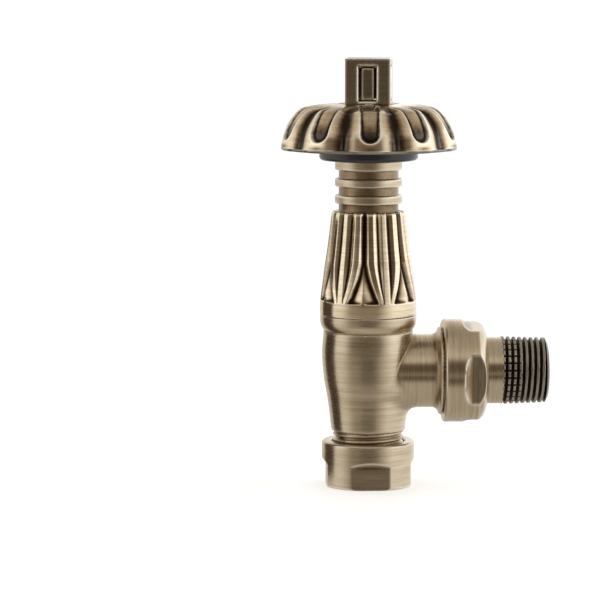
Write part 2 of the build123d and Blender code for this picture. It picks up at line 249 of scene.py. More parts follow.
def skin(field, start, end, step):
    """Points and faces of the surface where field(x, y, z) is 0, found on a grid and then drawn onto it."""
    axes = [np.arange(a, b + step, step) for a, b in zip(start, end)]
    x, y, z = np.meshgrid(*axes, indexing="ij")
    f = field(x, y, z)
    grid = np.stack([x, y, z], axis=-1)
    cells = tuple(s - 1 for s in f.shape)
    total, hits = np.zeros((*cells, 3)), np.zeros(cells)
    crossings = []
    for axis in range(3):
        here = [slice(None)] * 3
        there = [slice(None)] * 3
        here[axis], there[axis] = slice(None, -1), slice(1, None)
        f0, f1 = f[tuple(here)], f[tuple(there)]
        cross = (f0 < 0) != (f1 < 0)
        t = np.where(cross, f0 / np.where(cross, f0 - f1, 1), 0)[..., None]
        at = grid[tuple(here)] * (1 - t) + grid[tuple(there)] * t
        b, c = [k for k in range(3) if k != axis]
        for db in (0, 1):
            for dc in (0, 1):
                pick = [slice(None)] * 3
                pick[b] = slice(None, -1) if db else slice(1, None)
                pick[c] = slice(None, -1) if dc else slice(1, None)
                pick = tuple(pick)
                total += np.where(cross[pick][..., None], at[pick], 0)
                hits += cross[pick]
        inner = [slice(None)] * 3
        inner[b], inner[c] = slice(1, -1), slice(1, -1)
        where = np.argwhere(cross[tuple(inner)])
        where[:, b] += 1
        where[:, c] += 1
        crossings.append((axis, b, c, where, f0[tuple(where.T)] < 0))
    # each cell's four edges along an axis were added from shifted copies, so cells line up as they are
    index = -np.ones(cells, dtype=np.int64)
    used = hits > 0
    index[used] = np.arange(used.sum())
    points = total[used] / hits[used][:, None]
    faces = []
    for axis, b, c, where, rising in crossings:
        ring = []
        for db, dc in ((-1, -1), (0, -1), (0, 0), (-1, 0)):
            cell = where.copy()
            cell[:, b] += db
            cell[:, c] += dc
            ring.append(index[tuple(cell.T)])
        quad = np.stack(ring, axis=1)
        flip = rising if (axis != 1) else ~rising
        quad[~flip] = quad[~flip][:, ::-1]
        faces.append(quad)
    for _ in range(SETTLE_PASSES):
        value = field(*points.T)
        rise = [field(*(points + o).T) - field(*(points - o).T) for o in np.eye(3) * PROBE]
        slope = np.stack(rise, axis=1) / (2 * PROBE)
        size = np.maximum((slope**2).sum(1), 0.05)
        move = slope * (value / size)[:, None]
        length = np.linalg.norm(move, axis=1, keepdims=True)
        points = points - move * np.minimum(1, 0.5 * step / np.maximum(length, 1e-9))
    return points, np.vstack(faces)


# ---- materials ----
class Nodes:
    """A short way to add nodes to a material or world."""

    def __init__(self, tree):
        self.tree = tree

    def add(self, kind, inputs=(), **settings):
        node = self.tree.nodes.new(kind)
        for name, value in settings.items():
            setattr(node, name, value)
        for socket, value in dict(inputs).items():
            if isinstance(value, bpy.types.NodeSocket):
                self.tree.links.new(value, node.inputs[socket])
            else:
                node.inputs[socket].default_value = value
        return node

    def math(self, operation, *values, clamp=False):
        node = self.add("ShaderNodeMath", dict(enumerate(values)), operation=operation, use_clamp=clamp)
        return node.outputs[0]

    def mix(self, factor, a, b):
        return self.add("ShaderNodeMix", {0: factor, 6: a, 7: b}, data_type="RGBA").outputs[2]

    def noise(self, vector, scale, detail=2.0, roughness=0.5):
        inputs = {"Vector": vector, "Scale": scale, "Detail": detail, "Roughness": roughness}
        return self.add("ShaderNodeTexNoise", inputs).outputs["Fac"]

    def stretched(self, vector, factors):
        return self.add("ShaderNodeVectorMath", {0: vector, 1: factors}, operation="MULTIPLY").outputs[0]


def new_material(name):
    material = bpy.data.materials.new(name)
    material.use_nodes = True
    nodes = Nodes(material.node_tree)
    shader = material.node_tree.nodes["Principled BSDF"]
    return material, nodes, shader


# Linear colours of antique brass; a material's tone multiplies the first three.
WORN_BRASS, BRIGHT_BRASS, MEAN_BRASS = (0.39, 0.298, 0.178), (0.70, 0.588, 0.432), (0.51, 0.415, 0.292)
# The patina colours also paint shade into hollows, and the rubbed edge colour also paints highlights on
# edges.
BROWN_PATINA_AND_SHADE, BLACK_PATINA_AND_SHADE, RUBBED_EDGE_AND_HIGHLIGHT = (0.25, 0.155, 0.08), (0.030, 0.018, 0.011), (0.90, 0.82, 0.68)
ACROSS_GRAIN, ALONG_GRAIN = 5200.0, 130.0  # lathe marks a metre, across them and along them


def toned(colour, tone=1.0):
    return (*(c * tone for c in colour), 1)


def antique_brass(name, axis="Z", rough=0.27, anisotropy=0.5, tone=1.0, patina_and_shade=1.0, brush=1.0, rub_and_highlight=1.0):
    """Brushed brass, darkened with patina and painted shade in its hollows and then rubbed back on its
    edges, partly as painted highlights, with lathe marks running round the axis.
    """
    material, n, shader = new_material(name)
    where = n.add("ShaderNodeTexCoord").outputs["Object"]
    across, along = ACROSS_GRAIN, ALONG_GRAIN
    grain = (along, along, across) if axis == "Z" else (across, along, along)
    fine = n.noise(n.stretched(where, grain), 1.0, 3.0, 0.6)
    wide = n.noise(n.stretched(where, tuple(g * 0.23 for g in grain)), 1.0, 2.0)
    cloud = n.noise(where, 130.0, 3.0)
    speck = n.noise(where, 900.0, 2.0)
    deep = n.add("ShaderNodeAttribute", attribute_name="deep").outputs["Fac"]
    edge = n.add("ShaderNodeAttribute", attribute_name="edge").outputs["Fac"]

    streak = n.math("ADD", n.math("MULTIPLY", fine, 0.6), n.math("MULTIPLY", wide, 0.4))
    tint = n.add("ShaderNodeValToRGB", {"Fac": streak})
    ramp = tint.color_ramp.elements
    ramp[0].position, ramp[0].color = 0.30, toned(WORN_BRASS, tone)
    ramp[1].position, ramp[1].color = 0.68, toned(BRIGHT_BRASS, tone)
    clouded = n.mix(n.math("MULTIPLY", cloud, 0.35), tint.outputs[0], toned(MEAN_BRASS, tone))
    spread = n.math("MULTIPLY_ADD", speck, 0.5, 0.75)
    # painted shade and patina: the deeper a point lies in a hollow or crease, the browner and then blacker
    # it gets
    dark = n.math("MULTIPLY", n.math("MULTIPLY", deep, spread), 1.1 * patina_and_shade, clamp=True)
    brown = toned(BROWN_PATINA_AND_SHADE, min(1.0, tone))
    browned = n.mix(n.math("MULTIPLY", dark, 1.5, clamp=True), clouded, brown)
    stained = n.mix(n.math("POWER", dark, 2.2), browned, toned(BLACK_PATINA_AND_SHADE))
    # rubbed edges that are partly painted highlights: standing edges are lightened towards pale cream
    bright = n.math("MULTIPLY", edge, n.math("MULTIPLY_ADD", cloud, 0.8 * rub_and_highlight, 0.4 * rub_and_highlight), clamp=True)
    colour = n.mix(bright, stained, toned(RUBBED_EDGE_AND_HIGHLIGHT))

    roughness = n.math("MULTIPLY_ADD", fine, 0.14 * brush, rough - 0.07 * brush)
    roughness = n.math("MULTIPLY_ADD", dark, 0.12, roughness)
    roughness = n.math("MULTIPLY_ADD", edge, 0.18, roughness)
    bump = n.add("ShaderNodeBump", {"Height": streak, "Strength": 0.14 * brush, "Distance": 0.00006})
    tangent = n.add("ShaderNodeTangent", direction_type="RADIAL", axis=axis)
    n.tree.links.new(colour, shader.inputs["Base Color"])
    n.tree.links.new(roughness, shader.inputs["Roughness"])
    n.tree.links.new(bump.outputs[0], shader.inputs["Normal"])
    n.tree.links.new(tangent.outputs[0], shader.inputs["Tangent"])
    shader.inputs["Metallic"].default_value = 1.0
    shader.inputs["Anisotropic"].default_value = anisotropy
    shader.inputs["Anisotropic Rotation"].default_value = 0.25
    return material


def plain_metal(name, colour, rough, grain=(900.0, 900.0, 5000.0)):
    """A turned or drawn metal with a fine grain."""
    material, n, shader = new_material(name)
    where = n.add("ShaderNodeTexCoord").outputs["Object"]
    fine = n.noise(n.stretched(where, grain), 1.0, 3.0)
    darker = tuple(c * 0.72 for c in colour)
    n.tree.links.new(n.mix(fine, (*colour, 1), (*darker, 1)), shader.inputs["Base Color"])
    n.tree.links.new(n.math("MULTIPLY_ADD", fine, 0.2, rough - 0.1), shader.inputs["Roughness"])
    bump = n.add("ShaderNodeBump", {"Height": fine, "Strength": 0.1, "Distance": 0.00005})
    n.tree.links.new(bump.outputs[0], shader.inputs["Normal"])
    shader.inputs["Metallic"].default_value = 1.0
    return material


def moulded(name, colour, lighter, rough, pebble=2500.0, strength=0.06):
    """Plastic or rubber with a fine moulded grain."""
    material, n, shader = new_material(name)
    where = n.add("ShaderNodeTexCoord").outputs["Object"]
    fine = n.noise(where, pebble, 3.0)
    cloud = n.noise(where, 160.0, 2.0)
    n.tree.links.new(n.mix(cloud, (*colour, 1), (*lighter, 1)), shader.inputs["Base Color"])
    n.tree.links.new(n.math("MULTIPLY_ADD", fine, 0.16, rough - 0.08), shader.inputs["Roughness"])
    bump = n.add("ShaderNodeBump", {"Height": fine, "Strength": strength, "Distance": 0.00005})
    n.tree.links.new(bump.outputs[0], shader.inputs["Normal"])
    return material


upright_brass = antique_brass("upright_brass", "Z", patina_and_shade=0.7)
body_brass = antique_brass("body_brass", "Z", patina_and_shade=0.35, rub_and_highlight=0.5)
lying_brass = antique_brass("lying_brass", "X", patina_and_shade=0.7)
arm_brass = antique_brass("arm_brass", "X", patina_and_shade=0.35, rub_and_highlight=0.5)
ornament_brass = antique_brass(
    "ornament_brass", "Z", rough=0.17, anisotropy=0.0, tone=1.32, patina_and_shade=1.6, brush=0.5, rub_and_highlight=0.6
)
wheel_brass = antique_brass(
    "wheel_brass", "Z", rough=0.20, anisotropy=0.0, tone=1.42, patina_and_shade=1.5, brush=0.4, rub_and_highlight=1.2
)
thread_brass = antique_brass(
    "thread_brass", "X", rough=0.30, anisotropy=0.0, tone=0.18, patina_and_shade=1.6, rub_and_highlight=0.55
)
raw_brass = plain_metal("raw_brass", (0.78, 0.62, 0.34), 0.30)
steel = plain_metal("spring_steel", (0.62, 0.62, 0.63), 0.28)
drawn_aluminium = plain_metal("drawn_aluminium", (0.75, 0.75, 0.76), 0.35)
post_brass = antique_brass(
    "post_brass", "Z", rough=0.22, anisotropy=0.2, tone=0.48, patina_and_shade=1.6, brush=0.7, rub_and_highlight=1.3
)
core_brass = antique_brass(
    "core_brass", "Z", rough=0.32, anisotropy=0.0, tone=0.42, patina_and_shade=0.8, brush=0.9
)
black_plastic = moulded("black_plastic", (0.012, 0.010, 0.014), (0.028, 0.020, 0.030), 0.24)
rubber = moulded("seal_rubber", (0.02, 0.02, 0.02), (0.035, 0.035, 0.035), 0.65, 1500.0, 0.2)
acetal = moulded("acetal", (0.74, 0.73, 0.69), (0.82, 0.81, 0.78), 0.42)


# ---- the pieces ----
def flats(r, angle, distance, first, blend=0.22):
    """Cuts four flats square to one another, each the given distance from the axis."""
    off = (angle - first + pi / 4) % (pi / 2) - pi / 4
    return soft_min(r, distance / np.cos(off), blend)


def compression_nut():
    pipe_hole, thread_hole = 7.75, 11.55
    closed = rounded(
        (pipe_hole, 0, 0.2), (NUT_R, 0, 0.75), (NUT_R, NUT_TOP, 0.85), (thread_hole, NUT_TOP, 0.5),
        (thread_hole, 2.4, 0.3), (8.9, 2.0, 0.3), (pipe_hole, 1.2, 0.1),
    )
    outline = dense(closed, 0.22, 1.4, lambda rr, h: rr > 12.4)
    flat_r, full_height, cut_height = NUT_R - 1.4, 7.4, 10.5

    def shape(rr, h, angle):
        slope = flat_r + np.maximum(0, h - full_height) * 1.05
        cut = flats(rr, angle, slope, 0.0)
        return np.where((rr > 12.2) & (h < cut_height), np.minimum(rr, cut), rr), h

    piece = turned("compression_nut_skin", outline, "pipe_nut", ["compression_nut"], shape, 400)
    piece.data.materials.append(upright_brass)


def union_nut():
    x0, x1, r = low("union_nut", 0), high("union_nut", 0), radius("union_nut")
    dome = [(r, x1 - 2.9), (15.75, x1 - 2.15), (14.95, x1 - 1.35)]
    dome += [(13.6, x1 - 0.62), (12.3, x1 - 0.22), (11.35, x1)]
    step = low("tail_piece", 0) + 2.2
    inside = [(10.9, x1, 0.1), (10.9, step, 0.1), (13.3, step, 0.2)]
    closed = rounded((13.3, x0, 0.3), (r, x0, 1.0), *curve(*dome, count=5), *inside)
    outline = dense(closed, 0.22, 1.2, lambda rr, h: rr > 11.2)
    flat_r, first = r - 2.05, radians(4.9)
    full_depth, run_out = x1 - 5.1, 2.7  # where the milling cutter has run in to the flats' full depth

    def shape(rr, h, angle):
        before = np.clip(full_depth - h, 0, run_out)
        slope = flat_r + run_out - np.sqrt(run_out**2 - before**2)
        cut = flats(rr, angle, slope, first, 0.25)
        return np.where((rr > 13.35) & (h > full_depth - run_out), np.minimum(rr, cut), rr), h

    piece = turned("union_nut_skin", outline, "union", ["union_nut"], shape, 400, lying=True)
    piece.data.materials.append(lying_brass)


def tail_piece():
    x0, end, r = low("tail_piece", 0), high("tail_piece", 0), 10.58
    flange = radius("tail_piece")
    groove, thread_end = end - 14.6, end - 0.8
    bore, key_end = 6.2, end - 10.5  # the hexagon for the fitting key runs in from the end
    closed = rounded(
        (bore, x0, 0.1), (flange, x0, 0.2), (flange, x0 + 2.0, 0.2), (r, x0 + 2.0, 0.1),
        (r, groove), (10.75, groove + 0.1), (10.3, thread_end, 0.2), (8.7, end, 0.35),
        (7.0, end, 0.3), (6.4, end - 10.4, 0.1), (bore, end - 10.6, 0.1),
    )
    outline = dense(closed, 0.145, 1.2, lambda rr, h: rr > 8.6 and h > 36)
    key, notch_count, notch_reach = 6.5, 28, 6.2

    def shape(rr, h, angle):
        phase = ((h - groove) / PIPE_PITCH + angle / (2 * pi)) % 1.0
        valley = np.abs(2 * phase - 1)
        cut = 0.95 * smooth_step((0.70 - valley) / 0.62)
        run_in = smooth_step((h - groove - 0.05) / 0.25) * smooth_step((end - 0.75 - h) / 0.5)
        on_thread = (rr > 9.9) & (h > groove + 0.05) & (h < end - 0.5)
        out = rr - np.where(on_thread, cut * run_in, 0)
        off = (angle * notch_count / (2 * pi)) % 1.0 - 0.5
        reach = smooth_step((groove + notch_reach - h) / 1.0)
        notch = 9.95 + 4.6 * np.abs(off) + (1 - reach) * 2.0
        out = np.where(on_thread, np.minimum(out, notch), out)
        sixth = (angle + pi / 6) % (pi / 3) - pi / 6
        hexed = (rr < 7.3) & (h > key_end)
        # darker in the thread's roots: painted shade and patina
        stain = np.where(on_thread, np.clip((rr - out) / 0.4, 0, 1), 0)
        key_wall = np.minimum(key / np.cos(sixth), 7.45) + np.maximum(0, rr - 6.45) * 0.6
        return np.where(hexed, key_wall, out), h, stain

    piece = turned("tail_piece_skin", outline, "tail", ["tail_piece"], shape, 392, lying=True)
    piece.data.materials.append(lying_brass)
    piece.data.materials.append(thread_brass)
    middle = np.array([p.center.x for p in piece.data.polygons]) / MM
    piece.data.polygons.foreach_set("material_index", (middle > groove).astype(np.int32))


def collar_ring():
    z0, z1, r = COLLAR_Z0, COLLAR_Z0 + 5.1, radius("collar_ring")
    bore, thread_r, top = 11.05, 12.9, z1 + 6.0
    side = [(13.7, z0 + 0.02), (14.35, z0 + 0.75), (14.85, z0 + 1.7), (15.12, z0 + 2.7), (r, z0 + 3.8)]
    side = curve(*side, count=8)
    closed = rounded((bore, z0), *side, (r, z1, 0.3), (thread_r, z1), (thread_r, top), (bore, top))
    outline = dense(closed, 0.25, 1.5, lambda rr, h: rr > 13.2)
    piece = turned("collar_ring_skin", outline, "valve", ["collar_ring"], None, 288)
    piece.data.materials.append(upright_brass)


# Edges of the facets of one arch, from its centre line to the middle of the column beside it.
# Heights over the plain band, then the angle of each edge there, in degrees.
LEAF_HEIGHTS = (0.0, 0.6, 2.9, 5.2, 7.6, 10.0, 12.8, 24.0, 30.0)
LEAF_EDGES = {
    "valley": (17.4, 16.8, 13.2, 9.6, 6.2, 3.3, 0.4, 0.1, 0.1),
    "leg_in": (21.6, 21.2, 17.8, 14.2, 11.2, 9.0, 7.0, 6.0, 6.0),
    "leg_out": (25.9, 25.6, 23.0, 20.4, 18.2, 16.2, 14.6, 13.8, 13.8),
    "flute": (26.1, 26.0, 25.0, 24.1, 23.2, 22.4, 21.5, 21.2, 21.2),
    "column": (26.3, 26.2, 26.0, 25.9, 26.1, 26.3, 26.5, 26.6, 26.6),
}
ARCH_COUNT, ARCH_TURN = 6, radians(-10.2)
VALLEY_DEPTH, FLUTE_DEPTH = 1.45, 1.0
CREST_FALL = 0.44  # how steeply the wedge inside an arch falls away from its crest


def leaf_depth(angle, height, r):
    """How deep the ornament is cut, in mm, at an angle from an arch's centre and a height over the band."""
    side = np.degrees(np.abs(angle))
    edge = {k: np.interp(height, LEAF_HEIGHTS, v) for k, v in LEAF_EDGES.items()}
    crest = np.clip(VALLEY_DEPTH - CREST_FALL * r * np.radians(edge["valley"]), 0, None)
    flute = FLUTE_DEPTH * np.clip((edge["column"] - edge["leg_out"]) / 10.5, 0, 1) ** 0.8

    def ramp(a, b, start, end):
        return start + (end - start) * np.clip((side - a) / np.maximum(b - a, 0.05), 0, 1)

    cut = ramp(0, edge["valley"], crest, VALLEY_DEPTH)
    cut = np.where(side > edge["valley"], ramp(edge["valley"], edge["leg_in"], VALLEY_DEPTH, 0.0), cut)
    cut = np.where(side > edge["leg_in"], ramp(edge["leg_in"], edge["leg_out"], 0.0, 0.1), cut)
    cut = np.where(side > edge["leg_out"], ramp(edge["leg_out"], edge["flute"], 0.1, flute), cut)
    cut = np.where(side > edge["flute"], ramp(edge["flute"], edge["column"], flute, 0.0), cut)
    cut = np.where(side > edge["column"], 0.0, cut)
    return cut * smooth_step((height - 0.15) / 0.5)


def fluted_shroud():
    z0, z1 = low("fluted_shroud", 2), high("fluted_shroud", 2)
    band = z0 + 4.3
    flank = [(15.33, z0 + 1.2), (15.17, z0 + 4.5), (14.84, z0 + 7.6), (14.05, z0 + 14)]
    flank += [(13.1, z0 + 20.3), (12.3, z0 + 26.6), (11.8, z1 - 1.6)]
    inside = [(9.75, z1), (9.75, z0 + 8.8), (11.3, z0 + 8.8), (11.3, z0 + 6.3), (13.2, z0 + 6.3)]
    top = [(11.72, z1 - 1.0), (11.5, z1 - 0.35), (11.1, z1)]
    closed = rounded((13.2, z0), (15.33, z0, 0.3), *curve(*flank, count=6), *top, *inside)
    outline = dense(closed, 0.23, 1.8, lambda rr, h: rr > 11.6 or (rr > 9.9 and h > z1 - 1.5))
    columns = 600

    def shape(rr, h, angle):
        pitch = 2 * pi / ARCH_COUNT
        off = (angle - ARCH_TURN + pitch / 2) % pitch - pitch / 2
        cut = leaf_depth(off, h - band, rr)
        outside = (rr > 13.25) | ((h > z0 + 7.0) & (rr > 11.4)) | ((h > z1 - 1.2) & (rr > 10.6))
        cut = np.where(outside, cut, 0)
        cut = 0.6 * cut + 0.2 * (np.roll(cut, 1, axis=1) + np.roll(cut, -1, axis=1))
        # darker where the ornament is cut deepest: painted shade and patina
        stain = 0.85 * np.clip(cut / 1.4, 0, 1) ** 3
        return rr - np.minimum(cut, np.maximum(rr - 10.1, 0)), h, stain

    piece = turned("fluted_shroud_skin", outline, "shroud", ["fluted_shroud"], shape, columns, sharp=180)
    piece.data.materials.append(ornament_brass)


RIBS = ((89.6, 92.3), (94.95, 97.5), (100.15, 103.2))  # each rib's bottom and top, in mm


def ribbed_neck():
    z0, z1 = low("ribbed_neck", 2), high("ribbed_neck", 2)
    tube, rib, bore, foot, foot_top = 9.4, 10.6, 7.6, 11.0, z0 + 2.7
    corners = [(bore, z0, 0.1), (foot, z0, 0.1), (foot, foot_top, 0.1), (tube, foot_top, 0.1)]
    for a, b in RIBS:
        corners += [(tube, a, 0.25), (rib, a, 0.45), (rib, b, 0.45), (tube, b, 0.25)]
    corners += [(tube, z1, 0.3), (bore, z1, 0.2)]
    outline = dense(rounded(*corners), 0.25, 1.8, lambda rr, h: rr > 9.0 and 86 < h < 104)

    def shape(rr, h, angle):
        # darker on the tube between the ribs: painted shade and patina
        return rr, h, 0.60 * smooth_step((10.3 - rr) / 0.7)

    piece = turned("ribbed_neck_skin", outline, "valve", ["ribbed_neck"], shape, 240)
    piece.data.materials.append(upright_brass)


def bearing_ring():
    z0, z1, r = low("bearing_ring", 2), high("bearing_ring", 2), radius("bearing_ring")
    bore = 9.45
    closed = rounded((bore, z0, 0.1), (r, z0, 1.1), (r, z1, 0.25), (bore, z1, 0.1))
    outline = dense(closed, 0.3, 1.5, lambda rr, h: rr > 14)
    piece = turned("bearing_ring_skin", outline, "valve", ["bearing_ring"], None, 288, slot="dark_plastic")
    piece.data.materials.append(black_plastic)


LOBE_COUNT, LOBE_TURN = 10, radians(-2.6)
DEEPEST_CUT = 2.8  # mm, so that a slot's cut leaves the wheel's wall whole


def handwheel():
    base = low("handwheel", 2) + 0.2
    crown = [(7.0, base + 14.55), (9.0, base + 14.3), (13.0, base + 14.25), (17.6, base + 14.0)]
    crown += [(20.8, base + 13.45), (22.4, base + 12.5), (23.8, base + 11.15), (25.4, base + 9.0)]
    crown += [(26.5, base + 7.1), (27.2, base + 5.3), (27.7, base + 3.4), (28.05, base + 1.9)]
    crown += [(28.28, base + 1.0)]
    top = curve(*crown, count=8)
    lip_r = 24.0  # inside this, the underside stays round
    under = [(28.1, base + 0.45), (27.6, base), (lip_r, base), (21.5, base + 2.8, 0.8)]
    under += [(16.5, base + 2.8, 0.8), (13.5, base - 0.2)]
    bore, cavity, cavity_z, ceiling = 9.48, 10.9, base + 7.9, base + 12.3
    hub = [(bore, base - 0.2), (bore, cavity_z), (cavity, cavity_z)]
    hub += [(cavity, ceiling), (7.0, ceiling)]
    closed = rounded(*top, *under, *hub)
    outline = dense(closed, 0.29, 1.6, lambda rr, h: h > base + 0.1 and (rr > 21 or h > base + 13))
    is_top = (outline[:, 1] > base + 0.98) & ((outline[:, 0] > 22) | (outline[:, 1] > base + 12.6))
    is_lip = ~is_top & (outline[:, 0] > lip_r)
    # how far along the outline each row lies, and which way is out of the wheel there
    walk = np.r_[0, np.cumsum(np.linalg.norm(np.diff(outline, axis=0), axis=1))][:, None]
    run = np.gradient(outline, axis=0)
    out = np.stack([-run[:, 1], run[:, 0]], axis=1)
    out *= np.sign((out * (outline - [15.0, base + 6])).sum(1))[:, None]
    level = smooth_step((outline[:, 1] - base - 1.0) / 3.0)
    out[:, 1] *= np.where(is_top & (outline[:, 0] > 26), level, 1)
    out /= np.linalg.norm(out, axis=1, keepdims=True)
    rim_row = np.where(is_top)[0][-1]

    def length_at(height):
        on = np.where(is_top)[0]
        return walk[on, 0][np.argmin(np.abs(outline[on, 1] - height))]

    slot_start, rim = length_at(base + 13.2), walk[rim_row, 0]
    hollow_start, hollow_end, hollow_half = length_at(base + 14.1), length_at(base + 3.2), 3.35

    def shape(rr, h, angle):
        # distances from the middle of a lobe, from the slot beside it, and down from the crown
        pitch = 2 * pi / LOBE_COUNT
        off = (angle - LOBE_TURN + pitch / 2) % pitch - pitch / 2
        side = np.abs(rr * np.sin(off))
        beside = rr * np.sin(pitch / 2 - np.abs(off))
        along = walk + 0 * rr
        t = np.clip((along - slot_start) / (rim - slot_start), 0, 1)

        # slots between the lobes, and each lobe's own rounding towards them
        half = 0.80 + 0.50 * t
        from_slot = np.hypot(beside, np.maximum(slot_start - along, 0))
        slot = (1.7 + 1.0 * t) * smooth_step((half + 0.3 - from_slot) / 0.8)
        seam = 0.35 * smooth_step((rr - 9.5) / 6) * smooth_step(1 - beside / 1.6)
        lobe_half = np.maximum(rr * np.sin(pitch / 2) - half, 1)
        roll = 1.5 * smooth_step((rr - 12) / 8) * np.clip(side / lobe_half, 0, 1.05) ** 2.6

        # the hollow down the middle of each lobe, deeper towards its round end
        fall = np.clip((along - hollow_start) / (hollow_end - hollow_start), 0, 1)
        centre = hollow_end - hollow_half
        reach = np.hypot(side, np.maximum(along - centre, 0)) / hollow_half
        floor = (0.45 + 1.05 * fall) * (0.72 + 0.28 * np.clip(reach, 0, 1) ** 2)
        inside = smooth_step((1.0 - reach) / 0.22) * smooth_step((rr - 10.0) / 8.5)
        cut = np.maximum(np.maximum(slot, seam), roll) + floor * inside
        cut = np.where(is_top[:, None], np.minimum(cut, DEEPEST_CUT), 0)

        # painted shade and patina in the slots, along the hollows' walls and under their ends; painted
        # shade also darkens the frames towards the slots, and the underside
        from_wall, from_end = hollow_half * (1 - reach), np.maximum(hollow_end - along, 0)
        shaded = 0.8 * np.exp(-((from_wall / 0.9) ** 2)) + 0.95 * np.exp(-((from_end / 5.4) ** 2))
        shaded += 0.45 * (1 - fall) ** 2
        outward = np.clip((side - hollow_half) / np.maximum(lobe_half - hollow_half, 0.5), 0, 1)
        toe = smooth_step((along - hollow_end - 0.5) / 1.2) * np.exp(-((side / 3.0) ** 2))
        frame_stain = np.maximum(0.02 + 0.72 * outward**2, 0.36 * toe)
        stain = inside * np.clip(shaded, 0.10, 0.85) + (1 - inside) * frame_stain
        stain *= smooth_step((rr - 12) / 8)
        stain = np.maximum(stain, 1.2 * smooth_step((half + 0.1 - from_slot) / 0.7))
        stain = np.where(is_top[:, None], stain, 0.8 * is_lip[:, None])

        # the underside's edge follows the lobes
        carved = rr - cut * out[:, :1]
        wall = carved[rim_row][None, :]
        lip = lip_r + (rr - lip_r) * (wall - lip_r) / (outline[rim_row, 0] - lip_r)
        return np.where(is_lip[:, None], lip, carved), h - cut * out[:, 1:], np.clip(stain, 0, 1)

    piece = turned("handwheel_skin", outline, "wheel", ["handwheel"], shape, 640, sharp=180)
    piece.data.materials.append(wheel_brass)


POST_HALF, POST_TURN = 7.05, radians(-7.3)
SLOT_Z = (121.9, 132.8)


def square_post(x, y):
    """Coordinates across and along the post's faces."""
    return x * cos(POST_TURN) + y * sin(POST_TURN), y * cos(POST_TURN) - x * sin(POST_TURN)


def box_field(a, b, c, half_a, half_b, c0, c1, soft):
    """Signed distance, near enough, to a box with rounded edges."""
    sides = soft_max(np.abs(a) - half_a, np.abs(b) - half_b, soft)
    return soft_max(sides, np.abs(c - (c0 + c1) / 2) - (c1 - c0) / 2, soft)


def sensor_cage():
    foot, top = low("sensor_cage", 2), high("sensor_cage", 2)
    step, cavity, ceiling, disc_r = foot + 2.0, 5.45, high("cage_core", 2), 10.85
    slot_half, bevel_width = 2.8, 0.42

    def field(x, y, z):
        a, b = square_post(x, y)
        solid = box_field(a, b, z, POST_HALF, POST_HALF, step - 0.5, top, 0.16)
        disc = np.maximum(np.hypot(x, y) - disc_r, np.maximum(foot - z, z - step))
        solid = np.minimum(solid, disc)
        hole = np.maximum(np.maximum(np.abs(a), np.abs(b)) - cavity, z - ceiling)
        for across, through in ((a, b), (b, a)):
            bevel = np.maximum(np.abs(through) - (POST_HALF - bevel_width), 0)
            slot = box_field(across, 0 * z, z, slot_half, 1.0, *SLOT_Z, 0.5)
            hole = np.minimum(hole, slot - bevel)
        return soft_max(solid, -hole, 0.12)

    bottom, reach = foot - 0.6, 11.4
    points, faces = skin(field, (-reach, -reach, bottom), (reach, reach, top + 0.6), 0.26)
    piece = finished("sensor_cage_skin", points, faces, "wheel", ["sensor_cage"], sharp=40)
    piece.data.materials.append(post_brass)


def cage_core():
    z0, z1, top = low("cage_core", 2), SLOT_Z[1] - 0.6, high("cage_core", 2)
    half_width, half_span, cap, reach = 1.9, 6.2, 5.4, 7

    def field(x, y, z):
        a, b = square_post(x, y)
        one = box_field(a, b, z, half_width, half_span, z0, z1, 0.35)
        other = box_field(a, b, z, half_span, half_width, z0, z1, 0.35)
        return np.minimum(np.minimum(one, other), box_field(a, b, z, cap, cap, z1, top, 0.1))

    points, faces = skin(field, (-reach, -reach, z0 - 0.6), (reach, reach, top + 0.6), 0.24)
    piece = finished("cage_core_skin", points, faces, "wheel", ["cage_core"], sharp=40)
    piece.data.materials.append(core_brass)


